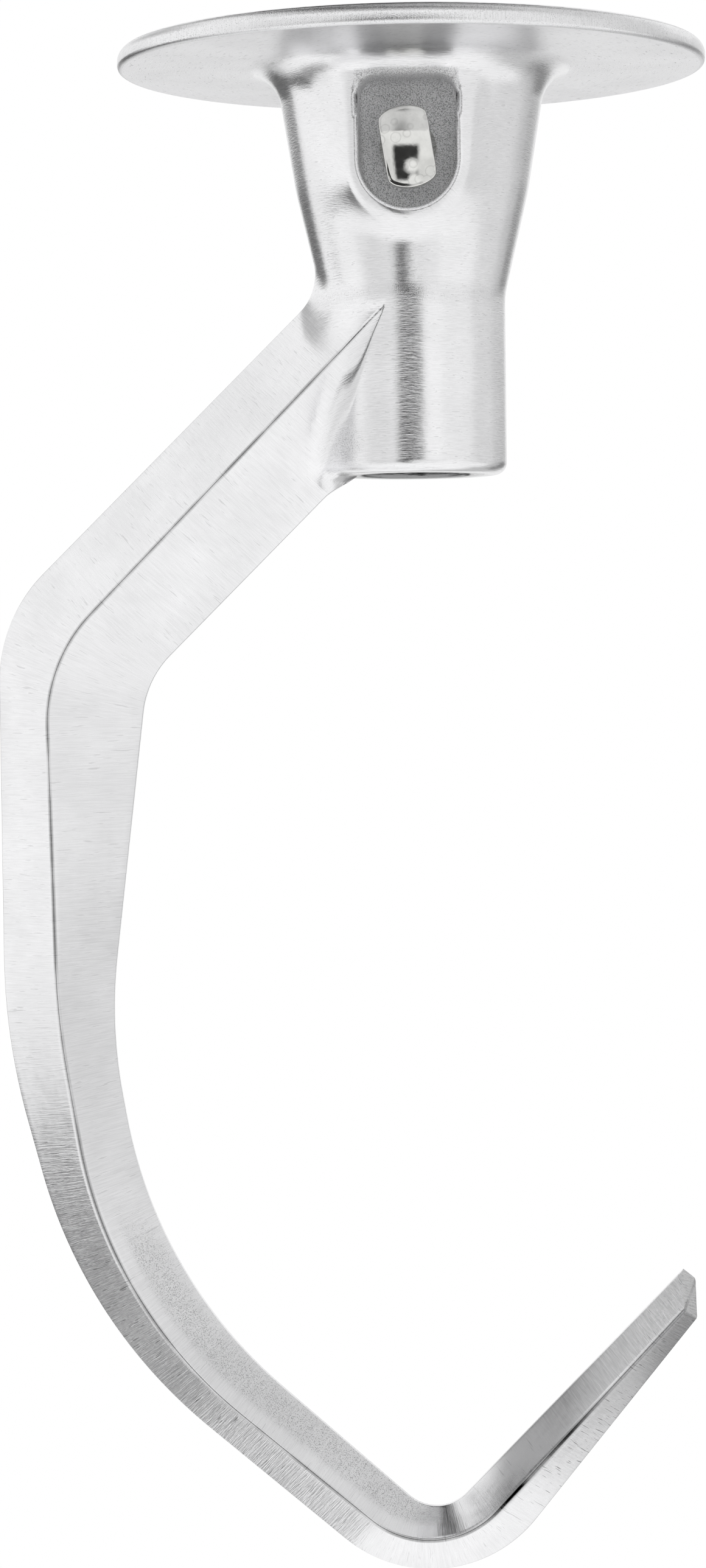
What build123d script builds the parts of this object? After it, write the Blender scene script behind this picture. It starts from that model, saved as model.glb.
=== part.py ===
from build123d import *
import os

# Dough hook for a planetary stand mixer, in millimetres.
# The origin is where the shaft bore opens in the top face of the disc. The shaft comes in from +Z,
# the hook lies in the XZ plane, and the drive pin points to the front, -Y.

# Disc guard
disc_diameter = 127.0
disc_thickness = 4.6
rim_top_radius = 1.6
rim_bottom_chamfer = 0.5

# Hub: a flare under the disc, then a plain cylinder
hub_length = 92.2
hub_diameter = 39.7
flare_top_diameter = 58.8
flare_bend_diameter = 50.2
flare_bend_drop = 31.0
waist_drop = 53.5
flare_fillet = 9.0
flare_bend_radius = 60.0
waist_radius = 15.0
hub_edge_radius = 2.6

# Shaft bore: a guide land at each end and a slightly wider cored stretch between them
bore_diameter = 24.0
upper_land_length = 16.0
lower_land_length = 30.0
core_relief = 0.6

# Drive pin, screwed into the front wall of the hub
pin_drop = 24.3
pin_shank_diameter = 12.0
pin_fit_clearance = 0.03
pin_nose_diameter = 8.0
pin_nose_reach = 5.0
pin_head_diameter = 17.4
pin_head_flats = 10.5
pin_head_thickness = 3.0
pin_head_standoff = 6.0
pin_dome_height = 2.0
pin_head_turn = 9.0

# Cast pocket that the pin's head stands in, and the raised lip round it with its sloping foot
pocket_width = 20.8
pocket_bottom_drop = 37.1
pocket_top_drop = 7.2
pocket_floor = 16.5
pocket_floor_radius = 1.5
pocket_mouth_radius = 1.0
lip_width = 2.4
lip_front = 25.6
lip_depth = 8.0
lip_spread = 3.2

# Blade: corners of its outer edge in the XZ plane, from inside the hub to just past the tip
arm_root = (-10.0, -42.1)
elbow = (-91.4, -122.2)
upper_sweep = (-91.2, -214.2)
lower_sweep = (-74.5, -276.9)
heel = (4.8, -342.9)
tip = (63.1, -270.8)

# How far the ridge and the inner edge lie from those corners, and the bend radii of the three lines
ridge_offsets = ((9.9, -9.3), (12.0, -9.6), (13.1, 5.3), (6.5, 5.2), (-2.3, 12.6), (-1.3, 4.4))
inner_offsets = ((22.4, -22.8), (32.3, -13.5), (23.0, 3.0), (15.9, 10.1), (-2.3, 22.7), (-6.8, 5.6))
outer_bends = (33.0, 140.0, 110.0, 29.5)
ridge_bends = (34.0, 180.0, 98.0, 20.0)
inner_bends = (20.7, 103.7, 101.6, 9.1)

# Blade depth: the ridge lies in a plane that leans towards the middle of the blade further down
ridge_height = 21.0
ridge_lean = 2.2
ridge_width = 0.8
edge_thickness = 1.6

# Ground end of the tip: how much is taken off the outer edge, and the two angles of the cut
tip_trim = 5.5
tip_cut_rise = 15.4
tip_cut_turn = 10.4

disc_radius = disc_diameter / 2
hub_radius = hub_diameter / 2
bore_radius = bore_diameter / 2


def moved(corners, offsets):
    """Corners of a line that lies away from another one by these offsets."""
    return [(x + dx, z + dz) for (x, z), (dx, dz) in zip(corners, offsets)]


def beside(corners, distance):
    """Corners of a line that runs beside another one, at this distance from each of its legs."""
    legs = [(Vector(*end) - Vector(*start)).normalized() for start, end in zip(corners, corners[1:])]
    shifted = []
    for corner, leg_in, leg_out in zip(corners, legs[:1] + legs, legs + legs[-1:]):
        mitre = (leg_in + leg_out).normalized()
        reach = distance / mitre.dot(leg_in)
        shifted.append((corner[0] - mitre.Y * reach, corner[1] + mitre.X * reach))
    return shifted


def strip(plane, left, left_bends, right, right_bends):
    """Sketch of the band between two bent lines."""
    with BuildSketch(plane) as band:
        with BuildLine():
            FilletPolyline(*left, radius=left_bends)
            Line(left[-1], right[-1])
            FilletPolyline(*right, radius=right_bends)
            Line(right[0], left[0])
        make_face()
    return band.sketch


def u_outline(plane, width, bottom, top):
    """Sketch with straight sides and a round bottom."""
    half = width / 2
    with BuildSketch(plane) as outline:
        with BuildLine():
            Polyline((-half, bottom + half), (-half, top), (half, top), (half, bottom + half))
            ThreePointArc((half, bottom + half), (0, bottom), (-half, bottom + half))
        make_face()
    return outline.sketch


# Blade: a thin middle layer, and a front and a back that rise from it to the ridges
outer_corners = (arm_root, elbow, upper_sweep, lower_sweep, heel, tip)
ridge_corners = moved(outer_corners, ridge_offsets)
inner_corners = moved(outer_corners, inner_offsets)
half_ridge = ridge_width / 2
ridge_plane = Plane.XZ.offset(ridge_height).rotated((ridge_lean, 0, 0))
with BuildPart() as blade:
    side = strip(
        Plane.XZ.offset(edge_thickness / 2), outer_corners, outer_bends, inner_corners, inner_bends
    )
    crest = strip(
        ridge_plane,
        beside(ridge_corners, -half_ridge),
        [bend + half_ridge for bend in ridge_bends],
        beside(ridge_corners, half_ridge),
        [bend - half_ridge for bend in ridge_bends],
    )
    loft([side, crest], ruled=True)
    mirror(about=Plane.XZ)
    extrude(side, amount=-edge_thickness)
    cut_point = Vector(tip[0] - tip_trim, 0, tip[1])
    cut_normal = Vector(1, 0, 0).rotate(Axis.Y, -tip_cut_rise).rotate(Axis.Z, -tip_cut_turn)
    split(bisect_by=Plane(cut_point, z_dir=cut_normal), keep=Keep.BOTTOM)

# Pocket: the space that is left open round the pin's head, with a rounded floor
pocket_outline = u_outline(
    Plane.XZ.offset(pocket_floor), pocket_width, -pocket_bottom_drop, -pocket_top_drop
)
with BuildPart() as pocket:
    extrude(pocket_outline, amount=disc_radius)
    fillet(pocket.faces().sort_by(Axis.Y)[-1].edges(), pocket_floor_radius)

# Lip: a raised rim round the pocket, on a foot that slopes out to the hub
with BuildPart() as lip:
    lip_outlines = [
        u_outline(
            Plane.XZ.offset(front), pocket_width + 2 * rim, -pocket_bottom_drop - rim, -disc_thickness / 2
        )
        for front, rim in ((lip_front - lip_depth, lip_width + lip_spread), (lip_front, lip_width))
    ]
    loft(lip_outlines, ruled=True)
    extrude(pocket_outline, amount=disc_radius, mode=Mode.SUBTRACT)
    mouth = lip.faces().sort_by(Axis.Y)[0].inner_wires()[0]
    fillet(mouth.edges(), pocket_mouth_radius)

# Hook casting: disc, hub, pocket, lip and blade in one piece
with BuildPart() as hook_casting:
    with BuildSketch(Plane.XZ):
        with BuildLine():
            FilletPolyline(
                (0, 0),
                (disc_radius, 0),
                (disc_radius, rim_bottom_chamfer - disc_thickness),
                (disc_radius - rim_bottom_chamfer, -disc_thickness),
                (flare_top_diameter / 2, -disc_thickness),
                (flare_bend_diameter / 2, -flare_bend_drop),
                (hub_radius, -waist_drop),
                (hub_radius, -hub_length),
                (0, -hub_length),
                radius=(
                    rim_top_radius,
                    0,
                    0,
                    flare_fillet,
                    flare_bend_radius,
                    waist_radius,
                    hub_edge_radius,
                ),
            )
            Line((0, -hub_length), (0, 0))
        make_face()
    revolve(axis=Axis.Z)
    add(pocket.part, mode=Mode.SUBTRACT)
    fillet(hook_casting.edges(Select.NEW), pocket_mouth_radius)
    add(lip.part)
    add(blade.part)
    with BuildSketch():
        Circle(bore_radius)
    extrude(amount=-hub_length, mode=Mode.SUBTRACT)
    with BuildSketch(Plane.XY.offset(-upper_land_length)):
        Circle(bore_radius + core_relief)
    extrude(amount=-(hub_length - upper_land_length - lower_land_length), mode=Mode.SUBTRACT)
    with BuildSketch(Plane.XZ):
        with Locations((0, -pin_drop)):
            Circle(pin_shank_diameter / 2 + pin_fit_clearance)
    extrude(amount=pocket_floor, mode=Mode.SUBTRACT)

# Drive pin: nose in the bore, shank in the wall, domed head with two flats
head_back = pocket_floor + pin_head_standoff
head_front = head_back + pin_head_thickness
with BuildPart() as drive_pin:
    head_radius = pin_head_diameter / 2
    with BuildSketch(Plane.YZ):
        with BuildLine():
            Polyline(
                (-head_front - pin_dome_height, -pin_drop),
                (-head_back, -pin_drop),
                (-head_back, -pin_drop + head_radius),
                (-head_front, -pin_drop + head_radius),
            )
            TangentArc(
                (-head_front - pin_dome_height, -pin_drop),
                (-head_front, -pin_drop + head_radius),
                tangent=(0, 1),
            )
        make_face()
    pin_axis = Axis((0, 0, -pin_drop), (0, 1, 0))
    revolve(axis=pin_axis)
    flat_normal = Vector(1, 0, 0).rotate(Axis.Y, -pin_head_turn)
    for side in (1, -1):
        flat_point = Vector(0, 0, -pin_drop) + flat_normal * (side * pin_head_flats / 2)
        split(bisect_by=Plane(flat_point, z_dir=flat_normal * side), keep=Keep.BOTTOM)
    wall_inside = bore_radius + core_relief
    for diameter, start, end in (
        (pin_shank_diameter, wall_inside, head_back),
        (pin_nose_diameter, wall_inside - pin_nose_reach, wall_inside),
    ):
        with BuildSketch(Plane.XZ.offset(start)):
            with Locations((0, -pin_drop)):
                Circle(diameter / 2)
        extrude(amount=end - start)

os.makedirs("parts", exist_ok=True)
for piece, name in ((hook_casting, "hook_casting"), (drive_pin, "drive_pin")):
    piece.part.label = name
    export_step(piece.part, f"parts/{name}.step")
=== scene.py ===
"""Looks of the dough hook: smooth skins for the casting and the pin, metals, light and camera."""
import math

import bmesh
import bpy
import numpy as np
from mathutils import Matrix, Vector
from mathutils.kdtree import KDTree


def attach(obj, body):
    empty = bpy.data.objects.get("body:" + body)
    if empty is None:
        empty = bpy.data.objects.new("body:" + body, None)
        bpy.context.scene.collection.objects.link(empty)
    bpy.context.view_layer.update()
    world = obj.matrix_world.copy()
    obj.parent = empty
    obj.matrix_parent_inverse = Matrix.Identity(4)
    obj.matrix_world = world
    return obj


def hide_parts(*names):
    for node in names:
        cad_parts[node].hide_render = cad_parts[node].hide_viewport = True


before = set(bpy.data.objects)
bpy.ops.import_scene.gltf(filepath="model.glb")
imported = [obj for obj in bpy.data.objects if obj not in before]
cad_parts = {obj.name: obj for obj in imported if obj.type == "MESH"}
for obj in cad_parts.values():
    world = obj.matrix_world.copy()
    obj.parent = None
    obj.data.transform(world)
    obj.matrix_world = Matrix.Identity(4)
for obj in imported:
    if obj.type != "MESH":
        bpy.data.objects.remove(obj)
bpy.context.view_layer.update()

MM = 0.001

# Sizes of the solids in millimetres, as in the part's source, with the diameters halved
disc_radius = 63.5
disc_thickness = 4.6
hub_radius = 19.85
hub_length = 92.2
bore_radius = 12.0
core_relief = 0.6
upper_land_length = 16.0
lower_land_length = 30.0
flare_top_radius = 29.4
flare_bend_radius = 25.1
flare_bend_drop = 31.0
waist_drop = 53.5

pin_drop = 24.3
pin_hole_radius = 6.03
pocket_half_width = 10.4
pocket_bottom_drop = 37.1
pocket_floor = 16.5
lip_width = 2.4
lip_front = 25.6
lip_depth = 8.0
lip_spread = 3.2

outer_corners = np.array(
    [(-10.0, -42.1), (-91.4, -122.2), (-91.2, -214.2), (-74.5, -276.9), (4.8, -342.9), (63.1, -270.8)]
)
ridge_offsets = np.array([(9.9, -9.3), (12.0, -9.6), (13.1, 5.3), (6.5, 5.2), (-2.3, 12.6), (-1.3, 4.4)])
inner_offsets = np.array(
    [(22.4, -22.8), (32.3, -13.5), (23.0, 3.0), (15.9, 10.1), (-2.3, 22.7), (-6.8, 5.6)]
)
outer_bends = (33.0, 140.0, 110.0, 29.5)
ridge_bends = (34.0, 180.0, 98.0, 20.0)
inner_bends = (20.7, 103.7, 101.6, 9.1)
ridge_height = 21.0
ridge_lean = math.radians(2.2)
ridge_land = 0.8
edge_half = 0.8
tip_trim = 5.5
tip_cut_rise = math.radians(15.4)
tip_cut_turn = math.radians(10.4)
tip_turns = Matrix.Rotation(-tip_cut_turn, 3, "Z") @ Matrix.Rotation(-tip_cut_rise, 3, "Y")
tip_normal = tip_turns @ Vector((1, 0, 0))

# Roundings of the casting, and the height of its pocket's top edge
rim_top_rounding = 2.6
rim_bottom_rounding = 1.1
flare_fillet = 9.0
flare_bend_rounding = 60.0
waist_rounding = 15.0
hub_edge_rounding = 2.6
bore_edge_rounding = 0.8
land_edge_rounding = 0.25
blade_rounding = 0.5
arm_fillet = 5.0
arm_fillet_end = -4.0
arm_fillet_fade = 11.0
lip_foot_fillet = 3.5
lip_edge_rounding = 2.0
mouth_rounding = 1.0
mouth_top_rounding = 2.0
floor_rounding = 1.5
pocket_top_rounding = 4.0
pocket_top = -9.4


# Lines with rounded corners


class Run:
    """A straight or round stretch of a line in a plane."""

    def __init__(self, start, end, centre=None, turn=0.0):
        self.start, self.end = np.asarray(start, float), np.asarray(end, float)
        self.centre, self.turn = centre, turn
        if centre is None:
            self.length = np.linalg.norm(self.end - self.start)
        else:
            self.radius = np.linalg.norm(self.start - centre)
            self.length = self.radius * abs(turn)

    def at(self, share):
        """Points at these shares of the stretch."""
        share = np.asarray(share, float)[..., None]
        if self.centre is None:
            return self.start + (self.end - self.start) * share
        angle = self.turn * share[..., 0]
        x, y = self.start - self.centre
        cosine, sine = np.cos(angle), np.sin(angle)
        return self.centre + np.stack([x * cosine - y * sine, x * sine + y * cosine], -1)

    def distance(self, points):
        """Distance of each point from the stretch."""
        if self.centre is None:
            along = self.end - self.start
            share = np.clip((points - self.start) @ along / (along @ along), 0, 1)
            return np.linalg.norm(points - self.start - share[:, None] * along, axis=1)
        away = points - self.centre
        first = self.start - self.centre
        angle = np.arctan2(first[0] * away[:, 1] - first[1] * away[:, 0], away @ first)
        on_arc = (angle * np.sign(self.turn) >= 0) & (np.abs(angle) <= abs(self.turn))
        ends = np.minimum(
            np.linalg.norm(points - self.start, axis=1), np.linalg.norm(points - self.end, axis=1)
        )
        return np.where(on_arc, np.abs(np.linalg.norm(away, axis=1) - self.radius), ends)


def rounded_line(corners, bends):
    """Runs of a line through these corners, each rounded to its radius."""
    corners = np.asarray(corners, float)
    runs = []
    start = corners[0]
    for before, corner, after, bend in zip(corners, corners[1:], corners[2:], bends):
        into = (corner - before) / np.linalg.norm(corner - before)
        onto = (after - corner) / np.linalg.norm(after - corner)
        turn = math.atan2(into[0] * onto[1] - into[1] * onto[0], into @ onto)
        cut = bend * math.tan(abs(turn) / 2)
        first, last = corner - into * cut, corner + onto * cut
        side = np.array([-into[1], into[0]]) * math.copysign(1, turn)
        runs += [Run(start, first), Run(first, last, first + side * bend, turn)]
        start = last
    return runs + [Run(start, corners[-1])]


# Casting: hub profile, lip and pocket as distances in millimetres, negative inside

outline_start = (40, 0)
hub_line = rounded_line(
    [
        outline_start,
        (disc_radius, 0),
        (disc_radius, -disc_thickness),
        (flare_top_radius, -disc_thickness),
        (flare_bend_radius, -flare_bend_drop),
        (hub_radius, -waist_drop),
        (hub_radius, -hub_length),
        (bore_radius, -hub_length),
        (bore_radius, lower_land_length - hub_length),
        (bore_radius + core_relief, lower_land_length - hub_length),
        (bore_radius + core_relief, -upper_land_length),
        (bore_radius, -upper_land_length),
        (bore_radius, 0),
        outline_start,
    ],
    (
        rim_top_rounding,
        rim_bottom_rounding,
        flare_fillet,
        flare_bend_rounding,
        waist_rounding,
        hub_edge_rounding,
        bore_edge_rounding,
        land_edge_rounding,
        land_edge_rounding,
        land_edge_rounding,
        land_edge_rounding,
        bore_edge_rounding,
    ),
)


def sample(runs, straight_step, round_step=0.16, longest_arc=1.2):
    """Points along a line: straight runs by length, round ones by angle and length."""
    points = []
    for run in runs:
        if run.centre is None:
            step = straight_step(run)
            count = max(1, math.ceil(run.length / step))
        else:
            count = max(3, math.ceil(abs(run.turn) / round_step), math.ceil(run.length / longest_arc))
        points.append(run.at(np.arange(count) / count))
    return np.concatenate(points)


hub_outline = sample(hub_line, lambda run: run.length)


def inside(points, outline):
    """Whether each point lies inside a closed outline."""
    hits = np.zeros(len(points), int)
    for (x0, y0), (x1, y1) in zip(outline, np.roll(outline, -1, axis=0)):
        if y0 == y1:
            continue
        crosses = (points[:, 1] < y0) != (points[:, 1] < y1)
        x_cross = x0 + (points[:, 1] - y0) * (x1 - x0) / (y1 - y0)
        hits += crosses & (points[:, 0] < x_cross)
    return hits % 2 == 1


def hub_distance(p):
    """Distance from the turned part of the casting."""
    flat = np.stack([np.hypot(p[:, 0], p[:, 1]), p[:, 2]], 1)
    away = np.min([run.distance(flat) for run in hub_line], axis=0)
    return np.where(inside(flat, hub_outline), -away, away)


def u_distance(p, top):
    """Distance from the pocket's U outline, seen from the front."""
    centre = pocket_half_width - pocket_bottom_drop
    low = np.hypot(p[:, 0], np.minimum(p[:, 2] - centre, 0)) - pocket_half_width
    return np.maximum(low, p[:, 2] - top)


def rounded_union(a, b, radius):
    """Both shapes, with a fillet of this radius where they meet."""
    gap_a, gap_b = np.maximum(radius - a, 0), np.maximum(radius - b, 0)
    return np.maximum(radius, np.minimum(a, b)) - np.hypot(gap_a, gap_b)


def rounded_overlap(a, b, radius):
    """What both shapes share, with its edge rounded to this radius."""
    return -rounded_union(-a, -b, radius)


def smooth_step(value, low, high):
    """0 below the first limit, 1 above the second, and a smooth rise between them."""
    t = np.clip((value - low) / (high - low), 0, 1)
    return t * t * (3 - 2 * t)


lip_slope = lip_spread / lip_depth
lip_top = -disc_thickness - 2.4


def lip_distance(p):
    """Distance from the rim round the pocket, with its sloping foot."""
    rim = lip_width + lip_slope * (p[:, 1] + lip_front)
    side = (u_distance(p, lip_top) - rim) / math.hypot(1, lip_slope)
    shape = rounded_overlap(side, -p[:, 1] - lip_front, lip_edge_rounding)
    return np.maximum(shape, p[:, 1] + lip_front - lip_depth)


def pocket_distance(p):
    """Distance from the space in the pocket."""
    sides = rounded_overlap(u_distance(p, 0.0), p[:, 1] + pocket_floor, floor_rounding)
    return rounded_overlap(sides, p[:, 2] - pocket_top, pocket_top_rounding)


# Blade: outer edge, ridge and inner edge run side by side, and a section joins them

ridge_corners = outer_corners + ridge_offsets
outer_runs = rounded_line(outer_corners, outer_bends)
ridge_runs = rounded_line(ridge_corners, ridge_bends)
inner_runs = rounded_line(outer_corners + inner_offsets, inner_bends)


def rails(index, share):
    """Outer edge, ridge and inner edge in XZ, and the ridge's height, at a share of one run."""
    ridge = ridge_runs[index].at(share)
    height = ridge_height + ridge[..., 1] * math.sin(ridge_lean)
    ridge = ridge * (1, math.cos(ridge_lean))
    return outer_runs[index].at(share), ridge, inner_runs[index].at(share), height


def section(outer_width, inner_width, height):
    """Corners of the section, shrunk so that rounding them off brings back its size, and its leans."""
    slope_o = (height - edge_half) / outer_width
    slope_i = (height - edge_half) / inner_width
    peak = height + ridge_land / 2 * (slope_o + slope_i) / 2
    slope_o, slope_i = (peak - edge_half) / outer_width, (peak - edge_half) / inner_width
    long_o, long_i = np.hypot(1, slope_o), np.hypot(1, slope_i)
    r = blade_rounding
    ridge_x = r * (long_o - long_i) / (slope_o + slope_i)
    ridge_y = peak + slope_o * ridge_x - r * long_o
    return {
        "outer": (r - outer_width, edge_half + r * (slope_o - long_o)),
        "ridge": (ridge_x, ridge_y),
        "inner": (inner_width - r, edge_half + r * (slope_i - long_i)),
        "lean_o": np.arctan(slope_o),
        "lean_i": np.arctan(slope_i),
    }


def section_ring(outer_width, inner_width, height, face_points, arc_points):
    """Points of the front half of the section, from the outer edge over the ridge to the inner edge."""
    s = section(outer_width, inner_width, height)
    r = blade_rounding

    def arc(corner, start, end):
        angle = start[:, None] + (end - start)[:, None] * np.linspace(0, 1, arc_points)
        x, y = corner[0][:, None], corner[1][:, None]
        return np.stack([x - r * np.cos(angle), y + r * np.sin(angle)], -1)

    right = np.full_like(height, math.pi / 2)
    left_arc = arc(s["outer"], 0 * right, right - s["lean_o"])
    peak_arc = arc(s["ridge"], right - s["lean_o"], right + s["lean_i"])
    right_arc = arc(s["inner"], right + s["lean_i"], 2 * right)
    share = (np.arange(1, face_points) / face_points)[None, :, None]
    outer_face = left_arc[:, -1:] + (peak_arc[:, :1] - left_arc[:, -1:]) * share
    inner_face = peak_arc[:, -1:] + (right_arc[:, :1] - peak_arc[:, -1:]) * share
    return np.concatenate([left_arc, outer_face, peak_arc, inner_face, right_arc], axis=1)


def place(section_points, outer, ridge, inner, front):
    """Section points in space: their widths run along the lines from edge to ridge to edge."""
    t, y = section_points[..., 0], section_points[..., 1]
    to_outer = ridge - outer
    to_inner = inner - ridge
    to_outer = to_outer / np.linalg.norm(to_outer, axis=-1, keepdims=True)
    to_inner = to_inner / np.linalg.norm(to_inner, axis=-1, keepdims=True)
    way = np.where((t < 0)[..., None], to_outer[:, None], to_inner[:, None])
    flat = ridge[:, None] + way * t[..., None]
    return np.stack([flat[..., 0], -y if front else y, flat[..., 1]], -1)


def blade_rings(step, face_points=14, arc_points=6):
    """Rings of points along the blade."""
    rings = []
    for index, run in enumerate(outer_runs):
        longest = max(run.length, ridge_runs[index].length)
        count = max(3, math.ceil(longest / step))
        last = index == len(outer_runs) - 1
        share = np.arange(count + last) / count
        outer, ridge, inner, height = rails(index, share)
        outer_width = np.linalg.norm(ridge - outer, axis=1)
        inner_width = np.linalg.norm(inner - ridge, axis=1)
        half = section_ring(outer_width, inner_width, height, face_points, arc_points)
        front = place(half, outer, ridge, inner, True)
        back = place(half, outer, ridge, inner, False)
        rings.append(np.concatenate([front, back[:, ::-1]], axis=1))
    return np.concatenate(rings)


def arm_distance(p):
    """Distance from the straight arm at the top of the blade."""
    start = rails(0, np.array(0.0))
    end = rails(0, np.array(1.0))
    flat = p[:, [0, 2]]
    ridge_run = end[1] - start[1]
    values = []
    for edge in (0, 2):
        edge_run = end[edge] - start[edge]
        share = np.zeros(len(p))
        for _ in range(4):
            edge_at = start[edge] + share[:, None] * edge_run
            ridge_at = start[1] + share[:, None] * ridge_run
            across = ridge_at - edge_at
            v = np.sum((flat - edge_at) * across, 1) / np.sum(across * across, 1)
            base = start[edge] + v[:, None] * (start[1] - start[edge])
            along = edge_run + v[:, None] * (ridge_run - edge_run)
            share = np.sum((flat - base) * along, 1) / np.sum(along * along, 1)
        values.append((share, (1 - v) * np.linalg.norm(across, axis=1)))
    (share_o, t_o), (share_i, t_i) = values
    outer_side = t_o > 0
    share = np.where(outer_side, share_o, share_i)
    t = np.where(outer_side, -t_o, t_i)
    height = start[3] + share * (end[3] - start[3])
    outer, ridge, inner = [start[k] + share[:, None] * (end[k] - start[k]) for k in range(3)]
    outer_width = np.linalg.norm(ridge - outer, axis=1)
    inner_width = np.linalg.norm(inner - ridge, axis=1)
    s = section(outer_width, inner_width, height)
    points = np.stack([t, np.abs(p[:, 1])], 1)
    zero = np.zeros(len(p))
    chain = [(s["outer"][0], zero), s["outer"], s["ridge"], s["inner"], (s["inner"][0], zero)]
    chain = [np.stack([np.broadcast_to(c[0], len(p)), np.broadcast_to(c[1], len(p))], 1) for c in chain]
    nearest = np.full(len(p), np.inf)
    within = np.ones(len(p), bool)
    for first, second in zip(chain, chain[1:]):
        leg = second - first
        away = points - first
        along = np.clip(np.sum(away * leg, 1) / np.sum(leg * leg, 1), 0, 1)
        nearest = np.minimum(nearest, np.linalg.norm(away - along[:, None] * leg, axis=1))
        within &= leg[:, 0] * away[:, 1] - leg[:, 1] * away[:, 0] < 0
    shape = np.where(within, -nearest, nearest) - blade_rounding
    return np.maximum(shape, -share * np.linalg.norm(ridge_run))


def casting_distance(p):
    """Distance from the whole casting near the hub, with its fillets."""
    least = 0.02
    foot = lip_foot_fillet * (1 + least - smooth_step(p[:, 2], -10.0, -6.5))
    body = rounded_union(hub_distance(p), lip_distance(p), foot)
    mouth = mouth_rounding + (mouth_top_rounding - mouth_rounding) * smooth_step(p[:, 2], -18.0, -8.0)
    body = rounded_overlap(body, -pocket_distance(p), mouth)
    fade = smooth_step(arm_fillet_end - p[:, 0], 0, arm_fillet_fade)
    return rounded_union(body, arm_distance(p), arm_fillet * (least + (1 - least) * fade))


def gradient(distance, p, reach=0.02):
    """Direction in which a distance grows fastest."""
    slopes = []
    for axis in np.eye(3) * reach:
        slopes.append((distance(p + axis) - distance(p - axis)) / (2 * reach))
    return np.stack(slopes, 1)


# Meshes


def ring_mesh(name, rings, closed_along=False):
    """Mesh object over rings of points, in millimetres: a closed loop of them, or capped at the ends."""
    count, size = rings.shape[:2]
    ids = np.arange(count * size).reshape(count, size)
    rows = [(k, (k + 1) % count) for k in range(count if closed_along else count - 1)]
    faces = []
    for a, b in rows:
        for j in range(size):
            n = (j + 1) % size
            faces.append((ids[a, j], ids[a, n], ids[b, n], ids[b, j]))
    if not closed_along:
        faces.append(tuple(ids[0, ::-1]))
        faces.append(tuple(ids[-1]))
    mesh = bpy.data.meshes.new(name)
    mesh.from_pydata(rings.reshape(-1, 3).tolist(), [], [tuple(map(int, f)) for f in faces])
    bm = bmesh.new()
    bm.from_mesh(mesh)
    bmesh.ops.recalc_face_normals(bm, faces=bm.faces)
    bm.to_mesh(mesh)
    bm.free()
    obj = bpy.data.objects.new(name, mesh)
    bpy.context.collection.objects.link(obj)
    return obj


def combine(base, other, operation):
    """Joins or cuts one mesh with another, which is then removed."""
    modifier = base.modifiers.new("combine", "BOOLEAN")
    modifier.operation = operation
    modifier.solver = "MANIFOLD"
    modifier.object = other
    bpy.context.view_layer.update()
    evaluated = base.evaluated_get(bpy.context.evaluated_depsgraph_get())
    result = bpy.data.meshes.new_from_object(evaluated)
    base.modifiers.clear()
    base.data = result
    bpy.data.objects.remove(other)


def turned(outline, segments):
    """Rings of points for a closed outline turned round the Z axis."""
    angle = np.arange(segments) * 2 * math.pi / segments
    radius, z = outline[:, 0], outline[:, 1]
    return np.stack(
        [
            np.cos(angle)[:, None] * radius,
            np.sin(angle)[:, None] * radius,
            np.broadcast_to(z, (segments, len(z))),
        ],
        -1,
    )


def u_ring(grow, top, y, spacing=0.5):
    """Ring of points round the pocket's U outline, grown by a distance."""
    half = pocket_half_width + grow
    centre = pocket_half_width - pocket_bottom_drop
    line = [
        Run((-half, top), (-half, centre)),
        Run((-half, centre), (half, centre), np.array([0.0, centre]), math.pi),
        Run((half, centre), (half, top)),
        Run((half, top), (-half, top)),
    ]
    side_length, bend_length, top_length = 20.0, 34.0, 22.0
    lengths = (side_length, bend_length, side_length, top_length)
    counts = [math.ceil(length / spacing) for length in lengths]
    flat = np.concatenate([run.at(np.arange(n) / n) for run, n in zip(line, counts)])
    return np.stack([flat[:, 0], np.full(len(flat), y), flat[:, 1]], 1)


# How finely the meshes are divided, and how far the cutters reach past the casting
hub_segments = 256
hub_step = 1.1
plain_step = 5.0
lip_layers = 17
lip_front_grows = (1.9, 1.4, 0.9, 0.4, -0.3, -2.0)
pocket_layers = 40
pocket_reach = 45
round_segments = 64
blade_step = 1.5
core_radius, core_top, core_bottom = 16.0, -5.0, -90.5
hole_overlap, hole_reach = 1, 3
tip_cutter_half, tip_cutter_depth = 40, 60


def circle(segments):
    """Points of a unit circle."""
    angle = np.arange(segments) * 2 * math.pi / segments
    return np.stack([np.cos(angle), np.sin(angle)], 1)


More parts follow.
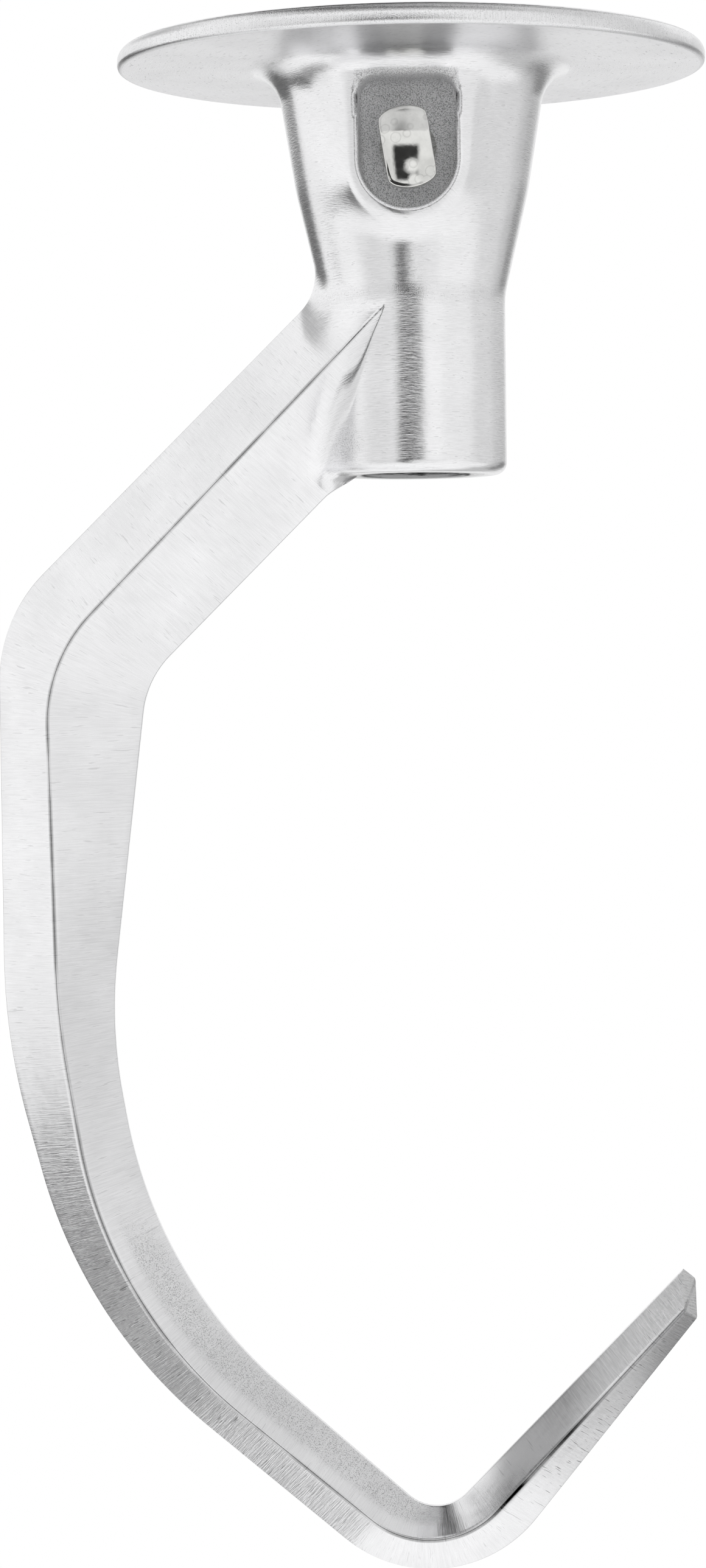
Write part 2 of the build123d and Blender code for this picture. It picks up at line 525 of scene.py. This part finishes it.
def make_hook():
    """The casting's skin in one mesh."""

    def straight_step(run):
        middle = (run.start + run.end) / 2
        on_hub = middle[0] > hub_radius - 1 and middle[1] < -disc_thickness - 1
        return hub_step if on_hub else plain_step

    outline = sample(hub_line, straight_step)
    hook = ring_mesh("hook_body", turned(outline, hub_segments), closed_along=True)
    depths = np.linspace(-(lip_front - lip_depth), -lip_front, lip_layers)
    lip_rings = [u_ring(lip_width + lip_slope * (y + lip_front), lip_top, y) for y in depths]
    lip_rings += [u_ring(grow, lip_top, -lip_front) for grow in lip_front_grows]
    combine(hook, ring_mesh("lip", np.array(lip_rings)), "UNION")
    floor_turns = np.linspace(0, math.pi / 2, 6)
    floor_inset = [floor_rounding * (1 - math.sin(a)) for a in floor_turns]
    floor_rise = [floor_rounding * (1 - math.cos(a)) for a in floor_turns]
    pocket_rings = [
        u_ring(-inset, pocket_top - inset, -pocket_floor - rise)
        for inset, rise in zip(floor_inset, floor_rise)
    ]
    pocket_depths = np.linspace(pocket_floor + floor_rounding, pocket_reach, pocket_layers)
    pocket_rings += [u_ring(0, pocket_top, -y) for y in pocket_depths[1:]]
    combine(hook, ring_mesh("pocket", np.array(pocket_rings)), "DIFFERENCE")
    round_hole = circle(round_segments)
    hole_x, hole_z = round_hole[:, 0] * pin_hole_radius, round_hole[:, 1] * pin_hole_radius - pin_drop
    hole_ends = (-pocket_floor - hole_overlap, -bore_radius + hole_reach)
    hole = [np.stack([hole_x, np.full(round_segments, y), hole_z], 1) for y in hole_ends]
    combine(hook, ring_mesh("pin_hole", np.array(hole)), "DIFFERENCE")
    blade = ring_mesh("blade", blade_rings(blade_step))
    core_circle = np.pad(circle(round_segments) * core_radius, ((0, 0), (0, 1)))
    core = [core_circle + (0, 0, z) for z in (core_top, core_bottom)]
    combine(blade, ring_mesh("core", np.array(core)), "DIFFERENCE")
    cut_point = Vector((outer_corners[-1][0] - tip_trim, 0, outer_corners[-1][1]))
    across = tip_normal.cross(Vector((0, 1, 0))).normalized()
    upward = across.cross(tip_normal)
    signs = ((-1, -1), (1, -1), (1, 1), (-1, 1))
    square = [cut_point + (across * a + upward * b) * tip_cutter_half for a, b in signs]
    cutter = np.array([square, [corner + tip_normal * tip_cutter_depth for corner in square]])
    combine(blade, ring_mesh("tip_cut", cutter), "DIFFERENCE")
    combine(hook, blade, "UNION")
    return hook


def read(items, name, size):
    """One property of every item in a mesh, as an array."""
    values = np.empty(len(items) * size)
    items.foreach_get(name, values)
    return values.reshape(-1, size)


def unit(vectors):
    """Vectors of length 1."""
    return vectors / np.maximum(np.linalg.norm(vectors, axis=1, keepdims=True), 1e-12)


def corner_normals(mesh, normals):
    """Normals of the face corners: those of the vertices, but sharp round the ground end of the tip."""
    tip_start = 40 * MM
    along_normal = np.array(tip_normal)
    face_normals = read(mesh.polygons, "normal", 3)
    on_cut = face_normals @ along_normal > 0.99
    on_cut &= read(mesh.polygons, "center", 3)[:, 0] > tip_start
    corner_face = np.repeat(np.arange(len(mesh.polygons)), 3)
    corner_vertex = read(mesh.loops, "vertex_index", 1).astype(int)[:, 0]
    corner_cut = on_cut[corner_face]
    weighted = (face_normals * read(mesh.polygons, "area", 1))[corner_face]
    beside_cut = np.zeros_like(normals)
    np.add.at(beside_cut, corner_vertex[~corner_cut], weighted[~corner_cut])
    rim = np.unique(corner_vertex[corner_cut])
    normals = normals.copy()
    normals[rim] = unit(beside_cut[rim])
    corners = normals[corner_vertex]
    corners[corner_cut] = along_normal
    return corners


merge_distance = 0.06
zone_bottom, zone_left, zone_inner_radius = -110, -50, 15.5
projection_rounds = 5
least_slope = 0.2

hook = make_hook()
bm = bmesh.new()
bm.from_mesh(hook.data)
bmesh.ops.triangulate(bm, faces=bm.faces)
bmesh.ops.remove_doubles(bm, verts=bm.verts, dist=merge_distance)
bm.to_mesh(hook.data)
bm.free()

# Vertices near the hub are moved onto the rounded shape, and take their normals from it
mesh = hook.data
points = read(mesh.vertices, "co", 3)
radius = np.hypot(points[:, 0], points[:, 1])
near_hub = (points[:, 2] > zone_bottom) & (points[:, 2] < -disc_thickness - 1)
near_hub &= (radius > zone_inner_radius) & (points[:, 0] > zone_left)
for _ in range(projection_rounds):
    zone = points[near_hub]
    value = casting_distance(zone)
    slope = gradient(casting_distance, zone)
    points[near_hub] = zone - slope * (value / np.maximum(np.sum(slope * slope, 1), least_slope))[:, None]
mesh.vertices.foreach_set("co", (points * MM).ravel())
mesh.update()
mesh.shade_smooth()
normals = read(mesh.vertex_normals, "vector", 3)
normals[near_hub] = unit(gradient(casting_distance, points[near_hub]))
mesh.normals_split_custom_set(corner_normals(mesh, normals).tolist())

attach(hook, "root")
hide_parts("hook_casting")


# Grain: coordinates in stroke widths and lengths, so that noise on them makes brush strokes


def ridge_coordinates(flat):
    """Length along the ridge and signed distance from it, for points in the XZ plane."""
    line, lengths, start = [], [], 0.0
    for run in ridge_runs:
        share = np.linspace(0, 1, 60, endpoint=False)
        line.append(run.at(share))
        lengths.append(start + share * run.length)
        start += run.length
    line, lengths = np.concatenate(line), np.concatenate(lengths)
    ahead = np.gradient(line, axis=0)
    ahead /= np.linalg.norm(ahead, axis=1, keepdims=True)
    tree = KDTree(len(line))
    for index, (x, z) in enumerate(line):
        tree.insert((x, 0, z), index)
    tree.balance()
    nearest = np.array([tree.find((x, 0, z))[1] for x, z in flat])
    away = flat - line[nearest]
    along = lengths[nearest] + np.sum(away * ahead[nearest], 1)
    aside = ahead[nearest][:, 0] * away[:, 1] - ahead[nearest][:, 1] * away[:, 0]
    return along, aside


def add_attribute(mesh, name, values):
    """Stores numbers or vectors on the vertices."""
    kind = "FLOAT" if values.ndim == 1 else "FLOAT_VECTOR"
    layer = mesh.attributes.new(name, kind, "POINT")
    layer.data.foreach_set("value" if kind == "FLOAT" else "vector", values.astype(np.float32).ravel())


stroke_width = 0.22
hub_stroke_length = 3.0
blade_stroke_length = 9.0


def add_grain(mesh, p):
    """Brush directions of the casting, shares of its finishes, and masks for painted shade, each within
    limits in millimetres.
    """
    front = p[:, 1] < 0
    radius = np.hypot(p[:, 0], p[:, 1])
    profile = disc_radius - radius - p[:, 2]
    hub = np.stack([profile / stroke_width, p[:, 0] / hub_stroke_length, p[:, 1] / hub_stroke_length], 1)
    rim = np.stack([p[:, 2] / hub_stroke_length, p[:, 0] / stroke_width, p[:, 1] / stroke_width], 1)
    on_rim = (radius > disc_radius - 1) & (p[:, 2] > -disc_thickness - 1)
    hub[on_rim] = rim[on_rim]
    along, aside = ridge_coordinates(p[:, [0, 2]])
    across = np.stack([aside, p[:, 1]], 1) / blade_stroke_length
    blade = np.stack([along / stroke_width, across[:, 0], across[:, 1]], 1)
    add_attribute(mesh, "hub_grain", hub)
    add_attribute(mesh, "blade_grain", blade)
    away_from_hub = smooth_step(hub_distance(p), 0.3, 5.0) * (p[:, 2] < -disc_thickness)
    add_attribute(mesh, "on_blade", away_from_hub)
    in_pocket = smooth_step(-u_distance(p, pocket_top + 0.6), -0.9, 0.2)
    in_pocket *= smooth_step(p[:, 1], -lip_front - 8, -lip_front - 4) * front
    add_attribute(mesh, "cast_skin", in_pocket)
    under_disc = smooth_step(radius, 30, 36) * (np.abs(p[:, 2] + disc_thickness) < 0.4)
    add_attribute(mesh, "satin", under_disc)
    # Mask for painted shade inside the bore
    painted_bore_shade = smooth_step(-radius, -bore_radius - 1.2, -bore_radius - 0.7) * (p[:, 2] > -hub_length - 1)
    add_attribute(mesh, "painted_bore_shade", painted_bore_shade)
    outer_face = smooth_step(-aside, 0.2, 1.2)
    before_heel = smooth_step(-p[:, 2], 222, 250) * smooth_step(-p[:, 0], 5, 35)
    up_the_tip = smooth_step(p[:, 0], 14, 30)
    tip_end = smooth_step(p[:, 0], 38, 52) * (p[:, 2] < -200)
    rough = outer_face * np.maximum(before_heel, up_the_tip)
    add_attribute(mesh, "coarse", away_from_hub * np.maximum(rough, 0.6 * tip_end))
    # Painted shade: the dark reflection on the inner face past the heel and on the tip's outer end,
    # painted into the colour
    past_heel = smooth_step(p[:, 0], 10, 20) * smooth_step(-p[:, 0], -46, -24) * (p[:, 2] < -250)
    tip_outer_end = smooth_step(p[:, 0], 42, 54) * outer_face * (p[:, 2] < -250)
    add_attribute(mesh, "painted_dark_reflection", np.maximum(past_heel * (1 - outer_face), 0.45 * tip_outer_end))
    face_middle = smooth_step(aside, 1.5, 4.0) * smooth_step(-aside, -12.0, -7.0)
    pitted = face_middle * smooth_step(-p[:, 2], 245, 262) * smooth_step(-p[:, 0], -8, 4)
    waist = np.exp(-(((p[:, 2] + 54.5) / 2.5) ** 2)) * front * (1 - away_from_hub)
    smear = np.exp(-(((p[:, 0] + 14) / 4) ** 2) - ((p[:, 2] + 86) / 6) ** 2) * front
    pitted_places = [pitted, 0.5 * waist, smear, 0.6 * on_rim, 0.6 * tip_end]
    add_attribute(mesh, "pitted", np.maximum.reduce(pitted_places))


add_grain(mesh, points)


class Nodes:
    """Short ways to make and link the nodes of one material or world."""

    def __init__(self, tree):
        self.tree = tree

    def add(self, kind, inputs=None, **settings):
        node = self.tree.nodes.new(kind)
        for key, value in settings.items():
            setattr(node, key, value)
        for key, value in (inputs or {}).items():
            if isinstance(value, bpy.types.NodeSocket):
                self.tree.links.new(value, node.inputs[key])
            else:
                node.inputs[key].default_value = value
        return node

    def math(self, operation, first, second=0.0, clamp=False):
        inputs = {0: first, 1: second}
        return self.add("ShaderNodeMath", inputs, operation=operation, use_clamp=clamp).outputs[0]

    def mix(self, factor, first, second):
        return self.add("ShaderNodeMix", {0: factor, 2: first, 3: second}, data_type="FLOAT").outputs[0]

    def noise(self, place, scale, detail=2.0, roughness=0.5):
        inputs = {"Vector": place, "Scale": scale, "Detail": detail, "Roughness": roughness}
        return self.add("ShaderNodeTexNoise", inputs).outputs[0]

    def ramp(self, value, low, high, start=0.0, end=1.0, smooth=True):
        kind = "SMOOTHSTEP" if smooth else "LINEAR"
        inputs = {"Value": value, "From Min": low, "From Max": high, "To Min": start, "To Max": end}
        return self.add("ShaderNodeMapRange", inputs, interpolation_type=kind).outputs[0]

    def attribute(self, name, output="Fac"):
        return self.add("ShaderNodeAttribute", attribute_name=name).outputs[output]


stroke_turn = 0.06
stroke_heights = (0.7, 1.3)
patch_scale = 60.0
wave_scale = 140.0
pit_scale = 5000.0
sand_scale = 3800.0


def strokes(nodes, grain):
    """Fine brush strokes and stray scratches along one grain: heights and scratch marks."""
    fine = nodes.noise(grain, 1.0, 3.0, 0.6)
    inputs = {"Vector": grain, "Rotation": (0, 0, stroke_turn), "Scale": (0.6, 1.5, 1.5)}
    crossing = nodes.noise(nodes.add("ShaderNodeMapping", inputs).outputs[0], 1.0, 2.0, 0.5)
    height = nodes.math("ADD", fine, crossing)
    scratch = nodes.ramp(crossing, 0.62, 0.72)
    return height, scratch


def ground_aluminium():
    """Belt ground casting: brush strokes, stray scratches and pits, and a sandy skin in the pocket."""
    material = bpy.data.materials.new("ground_aluminium")
    material.use_nodes = True
    nodes = Nodes(material.node_tree)
    shader = material.node_tree.nodes["Principled BSDF"]
    place = nodes.add("ShaderNodeTexCoord").outputs["Object"]
    on_blade = nodes.attribute("on_blade")
    coarse = nodes.attribute("coarse")
    pitted = nodes.attribute("pitted")
    satin = nodes.attribute("satin")
    cast = nodes.attribute("cast_skin")
    hub_height, hub_scratch = strokes(nodes, nodes.attribute("hub_grain", "Vector"))
    blade_grain = nodes.attribute("blade_grain", "Vector")
    blade_height, blade_scratch = strokes(nodes, blade_grain)
    height = nodes.mix(on_blade, hub_height, blade_height)
    scratch = nodes.mix(on_blade, hub_scratch, blade_scratch)

    # Pits: some of the cells have a dot, more of them where the skin is pitted
    patches = nodes.noise(place, patch_scale, 3.0)
    cells = nodes.add("ShaderNodeTexVoronoi", {"Vector": place, "Scale": pit_scale}).outputs
    chance = nodes.add("ShaderNodeSeparateColor", {0: cells["Color"]}).outputs[0]
    stray_share = nodes.ramp(patches, 0.5, 0.72, 0.0, 0.10)
    share = nodes.math("ADD", nodes.math("MULTIPLY", pitted, 0.85), stray_share)
    dots = nodes.math("LESS_THAN", cells["Distance"], nodes.ramp(chance, 0.0, 1.0, 0.15, 0.5))
    pit = nodes.math("MULTIPLY", dots, nodes.math("LESS_THAN", chance, share))
    sand = nodes.noise(place, sand_scale, 2.0, 0.7)

    # Lightness: strokes, pits, a painted dark reflection past the heel and at the tip, painted shade
    # along the ridge, then the pocket and painted shade in the bore
    light = nodes.ramp(height, *stroke_heights, 0.86, 0.98, smooth=False)
    light = nodes.math("MULTIPLY", light, nodes.ramp(patches, 0.3, 0.7, 0.95, 1.02))
    stroke_depth = nodes.math("ADD", nodes.mix(coarse, 0.18, 0.55), nodes.math("MULTIPLY", satin, 0.2))
    light = nodes.math("SUBTRACT", light, nodes.math("MULTIPLY", scratch, stroke_depth))
    light = nodes.math("MULTIPLY", light, nodes.ramp(pitted, 0.0, 1.0, 1.0, 0.9))
    # Painted shade: the colour is darkened by up to a half where the dark reflection is painted
    light = nodes.math("MULTIPLY", light, nodes.ramp(nodes.attribute("painted_dark_reflection"), 0.0, 1.0, 1.0, 0.5))
    # Painted shade: a dark line along the blade's ridge, broken up by the patches
    aside = nodes.add("ShaderNodeSeparateXYZ", {0: blade_grain}).outputs[1]
    ridge = nodes.ramp(nodes.math("ABSOLUTE", aside), 0.02, 0.07, 1.0, 0.0)
    ridge = nodes.math("MULTIPLY", ridge, on_blade)
    ridge = nodes.math("MULTIPLY", ridge, nodes.ramp(patches, 0.35, 0.6, 0.15, 0.5))
    light = nodes.math("SUBTRACT", light, ridge)
    light = nodes.math("SUBTRACT", light, nodes.math("MULTIPLY", pit, 0.4), clamp=True)
    value = nodes.mix(cast, light, nodes.ramp(sand, 0.34, 0.58, 0.42, 1.0))
    # Painted shade: the colour inside the bore is darkened to about a third
    value = nodes.math("MULTIPLY", value, nodes.ramp(nodes.attribute("painted_bore_shade"), 0.0, 1.0, 1.0, 0.35))
    cool = nodes.math("MULTIPLY", value, 1.01)
    colour = nodes.add("ShaderNodeCombineColor", {0: value, 1: value, 2: cool})
    nodes.tree.links.new(colour.outputs[0], shader.inputs["Base Color"])
    nodes.tree.links.new(nodes.ramp(cast, 0, 1, 1.0, 0.3), shader.inputs["Metallic"])
    gloss = nodes.ramp(height, *stroke_heights, 0.15, 0.25, smooth=False)
    gloss = nodes.math("ADD", gloss, nodes.math("MULTIPLY", satin, 0.12))
    nodes.tree.links.new(nodes.mix(cast, gloss, 0.45), shader.inputs["Roughness"])

    # Relief in millimetres
    waves = nodes.math("MULTIPLY", nodes.noise(place, wave_scale, 2.0), 0.12)
    depth = nodes.mix(coarse, nodes.mix(on_blade, 0.045, 0.024), 0.11)
    relief = nodes.math("ADD", nodes.math("MULTIPLY", height, depth), waves)
    relief = nodes.math("ADD", relief, nodes.math("MULTIPLY", pit, -0.08))
    grit = nodes.math("MULTIPLY", nodes.math("MULTIPLY", sand, pitted), 0.08)
    relief = nodes.math("ADD", relief, grit)
    relief = nodes.mix(cast, relief, nodes.math("MULTIPLY", sand, 0.3))
    bump = nodes.add("ShaderNodeBump", {"Height": relief, "Strength": 0.6, "Distance": MM})
    nodes.tree.links.new(bump.outputs[0], shader.inputs["Normal"])
    return material


spot_scale = 330.0
haze_scale = 500.0


def polished_steel():
    """Bright steel with a few dried water spots."""
    material = bpy.data.materials.new("polished_steel")
    material.use_nodes = True
    nodes = Nodes(material.node_tree)
    shader = material.node_tree.nodes["Principled BSDF"]
    place = nodes.add("ShaderNodeTexCoord").outputs["Object"]
    spots = nodes.add("ShaderNodeTexVoronoi", {"Vector": place, "Scale": spot_scale}).outputs["Distance"]
    ring = nodes.math("MULTIPLY", nodes.ramp(spots, 0.42, 0.38), nodes.ramp(spots, 0.28, 0.36))
    haze = nodes.noise(place, haze_scale, 3.0)
    value = nodes.ramp(haze, 0.3, 0.7, 0.72, 0.80)
    value = nodes.math("SUBTRACT", value, nodes.math("MULTIPLY", ring, 0.10))
    warm = nodes.math("MULTIPLY", value, 0.97)
    colour = nodes.add("ShaderNodeCombineColor", {0: value, 1: value, 2: warm})
    nodes.tree.links.new(colour.outputs[0], shader.inputs["Base Color"])
    shader.inputs["Metallic"].default_value = 1.0
    nodes.tree.links.new(nodes.ramp(haze, 0.3, 0.7, 0.04, 0.10), shader.inputs["Roughness"])
    bump = nodes.add("ShaderNodeBump", {"Height": haze, "Strength": 0.15, "Distance": 0.1 * MM})
    nodes.tree.links.new(bump.outputs[0], shader.inputs["Normal"])
    return material


mesh.materials.clear()
mesh.materials.append(ground_aluminium())
for polygon in mesh.polygons:
    polygon.material_index = 0


# Drive pin: the solid's head with softened edges

pin_shank_radius = 6.0
pin_nose_radius = 4.0
pin_nose_reach = 5.0
pin_head_radius = 8.7
pin_flat = 5.25
pin_head_back = pocket_floor + 6.0
pin_head_front = pin_head_back + 3.0
pin_dome = 2.0
pin_turn = math.radians(9.0)
pin_edge = 0.45
pin_corner_depth, pin_corner_width = 0.25, 0.09
pin_crease = 0.02
pin_segments = 160


def pin_outline(grow):
    """Outline of the head, grown by a distance: a circle with two flats and softened corners."""
    radius, flat = pin_head_radius + grow, pin_flat + grow
    corner = math.acos(flat / radius)
    angle = np.linspace(0, 2 * math.pi, pin_segments, endpoint=False)
    reach = np.minimum(radius, flat / np.maximum(np.abs(np.cos(angle)), 1e-6))
    near = np.abs(np.abs(np.mod(angle + math.pi / 2, math.pi) - math.pi / 2) - corner)
    reach -= pin_corner_depth * np.exp(-((near / pin_corner_width) ** 2))
    return np.stack([reach * np.cos(angle), reach * np.sin(angle)], 1)


def pin_front(flat):
    """How far out the dome is at these points of the head."""
    sphere = (pin_head_radius**2 + pin_dome**2) / (2 * pin_dome)
    return pin_head_front + pin_dome - sphere + np.sqrt(sphere**2 - np.sum(flat**2, 1))


def make_pin():
    """The drive pin: nose, shank and head in one mesh."""
    rings = []

    def add(flat, depth):
        x = flat[:, 0] * math.cos(pin_turn) - flat[:, 1] * math.sin(pin_turn)
        z = flat[:, 1] * math.cos(pin_turn) + flat[:, 0] * math.sin(pin_turn)
        rings.append(np.stack([x, np.broadcast_to(-depth, len(x)), z - pin_drop], 1))

    round_pin = circle(pin_segments)
    quarter = np.linspace(0, math.pi / 2, 6)
    wall = bore_radius + core_relief
    for turn in quarter:
        inset, rise = pin_edge * (1 - math.sin(turn)), pin_edge * (1 - math.cos(turn))
        add(round_pin * (pin_nose_radius - inset), wall - pin_nose_reach + rise)
    for depth in (wall - pin_crease, wall):
        add(round_pin * pin_nose_radius, depth)
    for depth in (wall, wall + pin_crease, pin_head_back - pin_crease, pin_head_back):
        add(round_pin * pin_shank_radius, depth)
    for turn in quarter:
        inset, rise = pin_edge * (1 - math.sin(turn)), pin_edge * (1 - math.cos(turn))
        add(pin_outline(-inset), pin_head_back + rise)
    rim = pin_outline(-pin_edge)
    for turn in quarter:
        inset, drop = pin_edge * (1 - math.cos(turn)), pin_edge * (1 - math.sin(turn))
        add(pin_outline(-inset), pin_front(rim) - drop)
    for share in np.linspace(1, 0.02, 16)[1:]:
        add(rim * share, pin_front(rim * share))
    return ring_mesh("pin_body", np.array(rings))


pin = make_pin()
pin.data.transform(Matrix.Scale(MM, 4))
pin.data.shade_smooth()
pin.data.materials.append(polished_steel())
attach(pin, "root")
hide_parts("drive_pin")


# Studio: a white room with a dark ceiling, a dark gap in front, dim places and lamps, in degrees


def towards(azimuth, elevation):
    """Direction by its angle from the front, to the right, and its height, in degrees."""
    a, e = math.radians(azimuth), math.radians(elevation)
    return (math.sin(a) * math.cos(e), -math.cos(a) * math.cos(e), math.sin(e))


wall_level = 0.95
table_edge, table_soft = -53, 4
ceiling_edge, ceiling_soft = 60, 6
ceiling_level = 0.05
dim_places = (
    # from azimuth, to azimuth, from elevation, to elevation, soft edge, level
    (-70, 70, 40, 62, 6, 0.45),
    (38, 82, -18, 24, 16, 0.86),
    (80, 122, -22, 24, 12, 0.72),
    (-62, -24, -32, 10, 20, 0.74),
    (-200, -126, -27, 4, 8, 0.14),
    (-128, -99, -54, -33, 6, 0.32),
    (-128, -98, -33, -15, 5, 0.15),
    (118, 200, -54, 8, 12, 0.55),
    (55, 150, 22, 120, 12, 0.72),
    (-200, -112, 22, 38, 6, 0.46),
    (-122, -62, 39, 56, 6, 0.95),
    (-200, -160, -20, 18, 6, 0.94),
    (160, 200, -20, 18, 6, 0.94),
    (135, 158, -34, 0, 6, 0.25),
    (-200, -135, 38, 95, 8, 0.06),
    (135, 200, 44, 95, 8, 0.06),
    (10, 34, -38, -8, 10, 0.84),
    (-19, 12, -35, 8, 6, 0.04),
)
lamps = (
    # azimuth, elevation, inner radius, outer radius, level
    (0, 90, 6, 16, 0.6),
    (4, -18, 4, 12, 1.0),
    (7, -34, 3, 9, 1.0),
    (-163, 26, 6, 16, 1.0),
    (150, 30, 8, 22, 1.0),
)


def studio_world():
    """The room as metal shows it; straight views of it are white."""
    world = bpy.data.worlds.new("studio")
    world.use_nodes = True
    nodes = Nodes(world.node_tree)
    way = nodes.add("ShaderNodeTexCoord").outputs["Generated"]
    x, y, z = nodes.add("ShaderNodeSeparateXYZ", {0: way}).outputs
    azimuth = nodes.math("DEGREES", nodes.math("ARCTAN2", x, nodes.math("MULTIPLY", y, -1.0)))
    elevation = nodes.math("DEGREES", nodes.math("ARCSINE", z))

    def within(angle, low, high, soft):
        rise = nodes.ramp(angle, low - soft / 2, low + soft / 2)
        return nodes.math("MULTIPLY", rise, nodes.ramp(angle, high + soft / 2, high - soft / 2))

    level = nodes.ramp(elevation, table_edge - table_soft, table_edge + table_soft, 1.0, wall_level)
    ceiling = nodes.ramp(elevation, ceiling_edge - ceiling_soft, ceiling_edge + ceiling_soft)
    level = nodes.mix(ceiling, level, ceiling_level)
    for left, right, bottom, top, soft, dim in dim_places:
        area = nodes.math(
            "MULTIPLY", within(azimuth, left, right, soft), within(elevation, bottom, top, soft)
        )
        level = nodes.mix(area, level, dim)
    for lamp_azimuth, lamp_elevation, inner, outer, lamp_level in lamps:
        centre = towards(lamp_azimuth, lamp_elevation)
        closeness = nodes.add("ShaderNodeVectorMath", {0: way, 1: centre}, operation="DOT_PRODUCT")
        near, far = math.cos(math.radians(inner)), math.cos(math.radians(outer))
        level = nodes.mix(nodes.ramp(closeness.outputs["Value"], far, near), level, lamp_level)
    level = nodes.mix(nodes.add("ShaderNodeLightPath").outputs["Is Camera Ray"], level, 1.0)
    colour = nodes.add("ShaderNodeCombineColor", {0: level, 1: level, 2: level}).outputs[0]
    nodes.tree.links.new(colour, world.node_tree.nodes["Background"].inputs["Color"])
    bpy.context.scene.world = world


def make_floor():
    """Plain pale floor below the hook; metal shows the room's own white table there."""
    floor_drop, floor_radius, floor_glow = 0.55, 0.8, 0.32
    angle = np.linspace(0, 2 * math.pi, 64, endpoint=False)
    edge = np.stack([np.cos(angle), np.sin(angle), 0 * angle], 1) * floor_radius - (0, 0, floor_drop)
    mesh = bpy.data.meshes.new("floor")
    mesh.from_pydata(edge.tolist(), [], [tuple(range(len(edge)))])
    material = bpy.data.materials.new("pale_floor")
    material.use_nodes = True
    shader = material.node_tree.nodes["Principled BSDF"]
    shader.inputs["Base Color"].default_value = (0.92, 0.92, 0.92, 1)
    shader.inputs["Roughness"].default_value = 0.9
    shader.inputs["Emission Color"].default_value = (1, 1, 1, 1)
    nodes = Nodes(material.node_tree)
    seen = nodes.add("ShaderNodeLightPath").outputs["Is Camera Ray"]
    glow = nodes.math("MULTIPLY", seen, floor_glow)
    nodes.tree.links.new(glow, shader.inputs["Emission Strength"])
    mesh.materials.append(material)
    floor = bpy.data.objects.new("floor", mesh)
    floor.visible_glossy = False
    bpy.context.collection.objects.link(floor)


studio_world()
make_floor()

# Camera, where the photograph was taken from
photo_size = (1160, 2576)
focal_pixels = 6694
camera_place = Vector((31.98, -885.24, -137.0)) * MM
azimuth, pitch, roll = math.radians(3.0), math.radians(1.423), math.radians(0.696)
right = Vector((math.cos(azimuth), math.sin(azimuth), 0))
level = Vector((-math.sin(azimuth), math.cos(azimuth), 0))
forward = level * math.cos(pitch) - Vector((0, 0, 1)) * math.sin(pitch)
up = Vector((0, 0, 1)) * math.cos(pitch) + level * math.sin(pitch)
rolled_right = right * math.cos(roll) - up * math.sin(roll)
rolled_up = up * math.cos(roll) + right * math.sin(roll)
camera_data = bpy.data.cameras.new("camera")
camera_data.sensor_width = 36
camera_data.lens = focal_pixels * camera_data.sensor_width / photo_size[1]
camera = bpy.data.objects.new("camera", camera_data)
bpy.context.collection.objects.link(camera)
camera_axes = Matrix((rolled_right, rolled_up, -forward)).transposed().to_4x4()
camera.matrix_world = Matrix.Translation(camera_place) @ camera_axes
bpy.context.scene.camera = camera
bpy.context.scene.view_settings.view_transform = "Standard"
